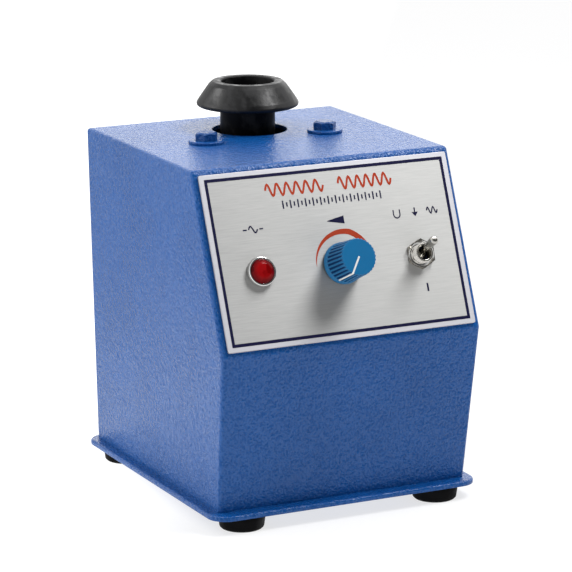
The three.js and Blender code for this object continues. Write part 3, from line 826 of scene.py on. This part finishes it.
def make_print():
    """Border, dial crescent and plain symbols in place of all lettering."""
    bm = bmesh.new()
    low, high = PANEL["face"] - 0.02, PANEL["face"] + INK
    navy, red = 0, 1

    def line(path, width, colour=navy, closed=False):
        points = [Vector(p) for p in path]
        ribbon(bm, points, width, low, high, panel_seat, closed, colour)

    line(rectangle(-62.7, 62.7, -84.1, -5.7), 1.5, closed=True)

    # Crescent round the knob: nothing at nine o'clock, widest past the top.
    knob_x, knob_y, _ = panel_seat.inverted() @ knob_seat.translation
    crescent = []
    count = 60
    for step in range(count + 1):
        grown = min(1.0, step / count / 0.75)
        turn = math.radians(180 - 150 * step / count)
        r = 13.4 + 2.85 * grown ** 2
        crescent.append((knob_x + r * math.cos(turn), knob_y + r * math.sin(turn)))
    line(crescent, lambda t: 0.12 + 2.6 * min(1.0, t / 0.75) ** 0.9, red)

    # Two bursts of vibration, and a fine scale under them.
    for x0, x1 in ((-33, -2.5), (5.5, 34)):
        line(wave(x0, x1, -12.9, 5.6, 6), 1.05, red)
    scale_y = -20.4
    for tick in range(27):
        tall = 2.1 if tick % 2 else 3.9
        x = -25 + tick * 2
        line([(x, scale_y - tall / 2), (x, scale_y + tall / 2)], 0.72)

    # Mains supply: a sine between two short bars.
    sine_y = -30.6
    line(wave(-45, -40.4, sine_y, 3.2, 1), 0.65)
    for x in (-48, -39.4):
        line([(x, sine_y), (x + 2, sine_y)], 0.65)

    # Speed: a wedge that grows to the right.
    line([(-3.6, -30.5), (5.4, -30.5)], lambda t: 0.3 + 3.6 * t)

    # Upper throw: a tube, pressed down, sets off the shaking.
    line([(32.2, -28.6), *arc(33.9, -30.9, 1.7, 180, 360, 10), (35.6, -28.6)], 0.6)
    line([(43.7, -28.4), (43.7, -31.0)], 0.7)
    line([(43.7, -30.6), (43.7, -32.6)], lambda t: 3.4 * (1 - t) + 0.05)
    line(wave(50.2, 56.0, -30.5, 3.0, 2), 0.65)

    # Lower throw: the plain bar for on.
    line([(43.6, -65.4), (43.6, -69.4)], 0.9)

    add_detail(add_object("panel_print", bm, navy_ink, red_ink))


make_panel()
make_print()

FACE = PANEL["face"] + 0.3  # where the pieces on the panel start


# ---- Mains lamp ----

def make_lamp():
    bezel = rounded([(4.6, FACE), (7.15, FACE, 0.15), (7.15, FACE + 1.6, 0.6), (6.75, FACE + 2.45, 0.45),
                     (6.0, FACE + 2.3, 0.2), (5.9, FACE + 1.2), (4.6, FACE + 1.2)], 6)
    stand_for(turned("lamp_ring", bezel, lamp_seat, chrome, steps=96), "lamp_bezel")
    dome = rounded([(0, FACE + 1.5), (5.86, FACE + 1.5), (5.86, FACE + 2.35, 0.2), (5.3, FACE + 3.3, 0.9),
                    (3.4, FACE + 4.5, 2.0), (0, FACE + 4.9)], 6)
    stand_for(turned("lamp_dome", dome, lamp_seat, lens, steps=96), "lamp_lens")


make_lamp()


# ---- Speed knob ----

FLUTE = (0, 0, 0.5, 1, 1, 0.95, 0.45, 0)  # depth round one flute, ridge first
POINTER = math.radians(238)  # where the white line points at rest


def make_knob():
    """Fluted skirted knob: rows go up the outside, over the face's rim and back up the bore."""
    low, high, back, face = KNOB["low"], KNOB["high"], KNOB["back"], KNOB["face"]

    def side(height):
        return back + (face - back) * (height - low) / (high - low)

    # (radius, height, share of the flutes' depth)
    rows = [(7.2, low, 0), (9.85, low, 0), (10.1, low + 0.25, 0), (10.0, low + 1.9, 0),
            (9.85, low + 2.15, 0), (back + 0.05, low + 2.25, 0), (side(low + 2.6), low + 2.6, 0.3),
            (side(low + 3.2), low + 3.2, 1), (side(high - 3), high - 3, 0.75),
            (side(high - 0.4), high - 0.4, 0.4), (face - 0.1, high - 0.12, 0.3), (face - 0.3, high, 0.2),
            (8.0, high, 0), (0, high, 0)]
    inside = [(0, 16, 0), (3.2, 16, 0), (3.2, 4.8, 0), (7.0, 4.8, 0)]
    steps = KNOB["flutes"] * len(FLUTE)
    bm = bmesh.new()
    rings = []
    for radius, height, flute in rows + inside:
        if not radius:
            rings.append(ring_of(bm, [(0, 0, height)], knob_seat) * steps)
            continue
        ring = []
        for step in range(steps):
            angle = POINTER + (step - 0.5) / steps * math.tau
            r = radius - KNOB["depth"] * flute * FLUTE[step % len(FLUTE)]
            ring.append((r * math.cos(angle), r * math.sin(angle), height))
        rings.append(ring_of(bm, ring, knob_seat))
    bridge(bm, rings + rings[:1])
    obj = add_object("knob_moulding", bm, knob_blue, sharp=32)
    stand_for(obj, "speed_knob")

    # The white line: over the face from its middle, then down one ridge.
    bm = bmesh.new()
    reach = Vector((math.cos(POINTER), math.sin(POINTER), 0))
    across = Vector((-reach.y, reach.x, 0)) * 0.42
    proud = 0.12
    profile = [(-0.2, high + proud), (side(high) + proud - 0.2, high + proud),
               (side(high) + proud, high - 0.2), (side(low + 3) + proud, low + 3),
               (side(low + 3) - 0.8, low + 3), (side(high) - 1.0, high - 0.4), (-0.2, high - 0.4)]
    sides = [ring_of(bm, [reach * r + across * hand + UP * z for r, z in profile], knob_seat)
             for hand in (-1, 1)]
    bm.faces.new(sides[0][::-1])
    bm.faces.new(sides[1])
    bridge(bm, sides)
    soften(bm, 0.08, 2)
    add_detail(add_object("knob_pointer", bm, pointer_white), "speed_control")


make_knob()


# ---- Toggle switch ----

TOGGLE_TILT = math.radians(14)


def make_toggle():
    """Bushing, body and terminals behind the panel, nut and bat lever in front."""
    bushing = [(3.4, -3), (4.75, -3), (4.75, 0.5)]
    bushing += threaded(4.75, 1.2, 6.2, 0.75, 0.32)
    bushing += rounded([(4.45, 6.2), (4.45, 6.8, 0.25), (3.55, 6.8, 0.2), (3.4, 6.4), (3.4, -3)], 3)[1:-1]
    obj = turned("toggle_bushing", bushing, toggle_seat, nickel, steps=96, sharp=25)
    stand_for(obj, "toggle_body")
    back = -WALL - 0.3
    case = block("toggle_case", (-8, 8), (-12, 12), (-17.5, back - 0.9), toggle_seat, sleeve_blue, edge=0.8)
    bracket = block("toggle_frame", (-8.2, 8.2), (-12.2, 12.2), (back - 0.9, back), toggle_seat, zinc,
                    edge=0.25)
    carve(bracket, rod(4.0, -8, 0, toggle_seat))
    add_detail(case)
    add_detail(bracket)
    for i, y in enumerate((-8, 0, 8)):
        tag = block(f"toggle_terminal_{i + 1}", (-2.2, 2.2), (y - 0.4, y + 0.4), (-20, -17.2), toggle_seat,
                    brass, edge=0.2)
        add_detail(tag)
    nut = hex_piece("toggle_hex_nut", 12.8, FACE, FACE + 2.4, toggle_seat, nickel,
                    turn=math.radians(27.5), both=True, bore=4.8)
    stand_for(nut, "toggle_nut")

    length = 16.2
    lever = rounded([(0, -2.8), (1.7, -2.5, 0.6), (2.9, 0, 2.6), (1.5, 2.5, 0.8), (1.42, 5, 3),
                     (1.65, 10, 9), (2.05, length - 2, 4), (2.12, length + 0.4, 1.1),
                     (1.3, length + 1.15, 0.6), (0, length + 1.2)], 6)
    pivot = Matrix.Translation((0, 0, 2)) @ Matrix.Rotation(-TOGGLE_TILT, 4, "X")
    obj = turned("toggle_bat", lever, toggle_seat @ pivot, lever_nickel_painted_shade, steps=64)
    stand_for(obj, "toggle_lever")


make_toggle()


# ---- Suspension bolts ----

WASHER = 1.5
BOLT_TURNS = {"left": -3, "right": -11}  # how each head happens to have been left, in degrees


def make_bolt(hand):
    node = f"suspension_bolt_{hand}"
    low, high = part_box(node)
    at = upright(node, case_high.z)
    head = hex_piece(f"bolt_head_{hand}", 10, WASHER, (high.z - case_high.z) / MM, at, bolt_paint_painted_shade,
                     turn=math.radians(BOLT_TURNS[hand]), crown=0.84)
    end = (low.z - case_high.z) / MM
    shank = [(0, end), (2.5, end), (3, end + 0.5)] + threaded(3, end + 0.6, end + 42, 1.0, 0.4)
    shank += [(3, end + 42.4), (3, WASHER), (0, WASHER)]
    add_detail(turned(f"bolt_shank_{hand}", shank, at, zinc, steps=36))
    stand_for(head, node)
    ring = rounded([(3.3, 0), (8.75, 0, 0.3), (8.75, WASHER, 0.45), (3.3, WASHER, 0.2)], 4)
    stand_for(turned(f"washer_{hand}", ring, at, paint), f"bolt_washer_{hand}")


for hand in HANDS:
    make_bolt(hand)


# ---- Rubber cup ----

def make_cup():
    """The cup's outer skin rises to a rounded lip and falls into the well."""
    at = upright("rubber_cup", case_high.z)
    top = (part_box("rubber_cup")[1].z - case_high.z) / MM
    under = 11.8
    stem_low, spigot, spigot_top = -8.0, 9.1, 1.8
    outline = rounded([
        (0, top - 17.4), (5, top - 17.2, 6), (9, top - 15.3, 4), (11.6, top - 10.9, 5),
        (12.6, top - 5.9, 9), (13.2, top - 0.5, 0.5), (14.1, top + 0.05, 0.6), (17.5, top, 1.5),
        (19.4, top - 1.7, 2.6), (24.4, top - 8.9, 5.0), (25.5, top - 10.8, 1.1), (25.3, top - 12.0, 0.7),
        (24.4, under, 0.6), (15.2, under, 1.0), (13.7, under - 1.6, 1.2), (13.7, stem_low, 0.4),
        (spigot, stem_low), (spigot, spigot_top), (0, spigot_top),
    ], 6)
    obj = turned("cup_moulding", outline, at, cup_rubber, steps=128)
    stand_for(obj, "rubber_cup")


make_cup()


# ---- Back fittings ----

def make_back_fittings():
    """The cord gland, and the fuse holder with its fluted cap."""
    reach = 13.26
    outline = rounded([(3.6, 4), (6.6, 4, 0.2), (6.6, reach - 3.5, 1.0), (5.4, reach, 0.6),
                       (3.6, reach, 0.4)], 4)
    dome = turned("gland_dome", outline, gland_seat, black)
    grips = [block("cutter", (6.1, 8), (-0.45, 0.45), (5, reach - 2.5), spun(gland_seat, 30 * i),
                   edge=0.15) for i in range(12)]
    carve(dome, *grips)
    stand_for(dome, "cable_gland")
    body = hex_piece("gland_hex", 15, 0.3, 4.5, gland_seat, black, both=True, bore=3.6)
    add_detail(body)
    tail = [(3.6, -11), (5.5, -11)] + threaded(5.8, -10.8, 0.3, 1.2, 0.35) + [(3.6, 0.3)]
    add_detail(turned("gland_thread", tail, gland_seat, black, steps=64, sharp=25))

    holder = [(4.6, -30), (6, -30)] + threaded(6, -29.6, 0.3, 1.2, 0.35)
    holder += rounded([(6, 0.3), (8, 0.3, 0.2), (8, 2.3, 0.6), (4.6, 2.3, 0.2), (4.6, -30)], 4)[1:-1]
    socket = turned("fuse_socket", holder, fuse_seat, black, sharp=25)
    stand_for(socket, "fuse_holder")
    cap = rounded([(0, -22), (4.2, -22, 0.4), (4.2, 2.6), (6.8, 2.6, 0.3), (6.6, 8.5, 0.8), (0, 8.5)], 4)
    obj = turned("fuse_cap_knob", cap, fuse_seat, black)
    slot_cut = block("cutter", (-5, 5), (-0.6, 0.6), (7.2, 9.5), fuse_seat, edge=0.1)
    ribs = [block("cutter", (6.35, 8), (-0.35, 0.35), (3.6, 7.4), spun(fuse_seat, 20 * i), edge=0.1)
            for i in range(18)]
    carve(obj, slot_cut, *ribs)
    stand_for(obj, "fuse_cap")


make_back_fittings()


# ---- Inner pieces ----

INNER_FINISHES = {
    black: ("lamp_body", "touch_switch", "gland_nut"),
    zinc: ("lamp_nut", "pot_body", "pot_nut", "spacer_sleeve_left", "spacer_sleeve_right",
           "suspension_nut_left", "suspension_nut_right", "guide_post", "motor_bracket", "motor_can",
           "switch_bracket", "cup_bearing"),
    foot_rubber: ("bracket_bush_left", "bracket_bush_right"),
    white: ("bracket_bush_rear",),
    sheet_aluminium: ("triac_heatsink", "pot_shaft"),
    casting: ("motor_end_cap",),
    core: ("stator_core",),
    turned_steel: ("rotor", "eccentric_head"),
    brass: ("counterweight",),
    aluminium: ("cup_hub",),
    lens: ("switch_plunger",),
}

for finish, nodes in INNER_FINISHES.items():
    for node in nodes:
        for material_slot in frame["nodes"][node].material_slots:
            material_slot.material = finish


def box_at(node, at):
    """A node's lowest and highest corners in a place's own millimetres."""
    back = at.inverted()
    spots = [back @ vertex.co for vertex in frame["nodes"][node].data.vertices]
    return [Vector([pick(axis) for axis in zip(*spots)]) for pick in (min, max)]


def make_board():
    """The speed control's board, with its parts hanging off the back."""
    low, high = box_at("control_board", knob_seat)
    inner = high.z - 1.6
    sheet = plate("circuit_sheet", rectangle(low.x, high.x, low.y, high.y, 1.2), inner, high.z, knob_seat,
                  board_green, edge=0.15)
    stand_for(sheet, "control_board")
    can = rounded([(0, inner - 11.8), (4.4, inner - 11.8), (4.6, inner - 12, 0.2), (6, inner - 12, 0.7),
                   (6, inner - 1.6, 0.4), (5.6, inner - 1.2, 0.3), (6, inner - 0.8, 0.3), (6, inner),
                   (0, inner)], 4)
    seat = knob_seat @ Matrix.Translation((-18, -10, 0))
    add_detail(turned("smoothing_can", can, seat, sleeve_blue, steps=48))
    film = block("film_capacitor", (-27, -12), (4, 18), (inner - 9, inner), knob_seat, yellow, edge=1.2)
    add_detail(film)
    relay = block("board_relay", (2, 12), (6, 18), (inner - 8, inner), knob_seat, black, edge=0.5)
    add_detail(relay)
    for i in range(4):
        body = rounded([(0, -3.2), (0.8, -3.2, 0.2), (1.15, -2.6, 0.4), (1.15, -1.5, 0.4), (0.9, -1, 0.4),
                        (0.9, 1, 0.4), (1.15, 1.5, 0.4), (1.15, 2.6, 0.4), (0.8, 3.2, 0.2), (0, 3.2)], 3)
        seat = knob_seat @ Matrix.Translation((-8 + i * 3.4, -13, inner - 1.15))
        lying = seat @ Matrix.Rotation(math.radians(90), 4, "X")
        add_detail(turned(f"resistor_{i + 1}", body, lying, white, steps=24))


def make_terminals():
    """A stepped strip of twelve clamps with their screws down in wells."""
    low, high = (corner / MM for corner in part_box("terminal_block"))
    step, shoulder = 3, low.z + 8
    outline = [(low.x, low.z), (high.x, low.z), (high.x, shoulder), (high.x - step, shoulder),
               (high.x - step, high.z), (low.x + step, high.z), (low.x + step, shoulder), (low.x, shoulder)]
    standing = place(Vector(), Vector((0, -1, 0)))
    strip = plate("terminal_strip", outline, -high.y, -low.y, standing, white, edge=0.3)
    centre = (low.x + high.x) / 2
    rows = [low.y + 3 + i * 6 for i in range(6)]
    wells = []
    screws = bmesh.new()
    for y in rows:
        for x in (centre - 2.4, centre + 2.4):
            seat = ground @ Matrix.Translation((x, y, 0))
            wells.append(rod(1.9, high.z - 3, high.z + 1, seat, 20))
            lathe(screws, rounded([(0, high.z - 3), (1.6, high.z - 3), (1.6, high.z - 1.6, 0.3),
                                   (0, high.z - 1.6)], 2), seat, 20)
    carve(strip, *wells)
    stand_for(even_normals(strip), "terminal_block")
    heads = add_object("terminal_screws", screws, zinc)
    slots = [block("cutter", (centre - 5, centre + 5), (y - 0.3, y + 0.3), (high.z - 2.1, high.z + 1),
                   ground, edge=0.05) for y in rows]
    add_detail(carve(heads, *slots))


make_board()
make_terminals()


def make_spring(hand):
    """A compression spring with closed ends."""
    node = f"lift_spring_{hand}"
    low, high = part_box(node)
    at = upright(node, low.z)
    length = (high.z - low.z) / MM
    wire, radius, turns, around = 0.7, 5.1, 6.5, 10
    steps = int(turns * 28)
    bm = bmesh.new()
    rings = []
    for step in range(steps + 1):
        t = step / steps
        rise = wire + (length - 2 * wire) * (3 * t ** 2 - 2 * t ** 3)
        turn = t * turns * math.tau
        out = Vector((math.cos(turn), math.sin(turn), 0))
        centre = out * radius + UP * rise
        spots = (k / around * math.tau for k in range(around))
        circle = [centre + out * wire * math.cos(a) + UP * wire * math.sin(a) for a in spots]
        rings.append(ring_of(bm, circle, at))
    bridge(bm, rings)
    bm.faces.new(rings[0])
    bm.faces.new(rings[-1][::-1])
    obj = add_object(f"coil_spring_{hand}", bm, zinc, sharp=60)
    stand_for(obj, node)
    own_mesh(obj)


for hand in HANDS:
    make_spring(hand)


# ---- Floor, light and camera ----

def make_floor():
    """White paper with a painted glow, as if lit from below, so that it stays pale: brighter at the left,
    greyer far beyond.
    """
    bm = bmesh.new()
    bmesh.ops.create_circle(bm, cap_ends=True, radius=6.0, segments=96)
    f = Finish("floor_paper", (0.3, 0.3, 0.3), 0.9, Specular_IOR_Level=0.0, Emission_Color=(1, 1, 1, 1))
    fibre = f.noise(300, 3)
    leftward = f.spread(f.vector("DOT_PRODUCT", f.place, (-0.85, 0.53, 0)), 0.03, 0.13, 0.72, 1.2)
    beyond = f.spread(f.vector("DISTANCE", f.place, (-0.5, 0.8, 0)), 0.5, 0.8, 0.3, 1)
    f.set(Base_Color=f.blend(fibre, 0.3, 0.7, (0.29, 0.29, 0.295), (0.31, 0.31, 0.31)),
          Emission_Strength=f.math("MULTIPLY", leftward, beyond))
    add_object("floor", bm, f.material)


def make_world():
    """White all round, brightest behind, with the dark of a room in front and above."""
    world = bpy.data.worlds.new("studio")
    bpy.context.scene.world = world
    world.use_nodes = True
    w = Nodes(world.node_tree)
    way = w.node("TexCoord", "Generated")
    toward = w.vector("DOT_PRODUCT", way, Vector((0.30, -0.86, 0.42)).normalized())
    level = w.spread(toward, -0.6, 0.3, 1.9, 1.1, "SMOOTHSTEP")
    level = w.spread(toward, 0.3, 0.85, level, 0.12, "SMOOTHSTEP")

    # The back left is a little dimmer.
    leftward = w.vector("DOT_PRODUCT", way, Vector((-0.60, 0.78, 0.16)).normalized())
    level = w.math("MULTIPLY", level, w.spread(leftward, 0.55, 0.92, 1.0, 0.35, "SMOOTHSTEP"))
    direct = w.node("LightPath", "Is Camera Ray")
    seen = w.node("Mix", 0, {0: direct, 2: level, 3: 1.1})
    w.wire(w.nodes["Background"], {"Color": (1, 1, 1, 1), "Strength": seen})


def add_light(name, direction, distance, size, power):
    lamp = bpy.data.lights.new(name, "AREA")
    lamp.shape = "DISK"
    lamp.size = size
    lamp.energy = power
    obj = bpy.data.objects.new(name, lamp)
    aim = Vector((0, 0, 0.1))
    way = Vector(direction).normalized()
    obj.location = aim + way * distance
    obj.rotation_euler = (-way).to_track_quat("-Z", "Y").to_euler()
    bpy.context.scene.collection.objects.link(obj)


def make_camera():
    """A long lens to the left of the front and a little above."""
    data = bpy.data.cameras.new("camera")
    data.lens = 200.81
    data.sensor_width = 36
    obj = bpy.data.objects.new("camera", data)
    obj.location = (-0.68264, -1.36954, 0.46925)
    obj.rotation_euler = (math.radians(76.345), 0, math.radians(-26.642))
    bpy.context.scene.collection.objects.link(obj)
    bpy.context.scene.camera = obj


make_floor()
make_world()
add_light("overhead", (0.43, -0.277, 0.86), 0.85, 0.38, 5.5)
add_light("far_left", (-0.66, 0.50, 0.56), 1.1, 0.5, 4)
make_camera()
bpy.context.scene.view_settings.view_transform = "Standard"
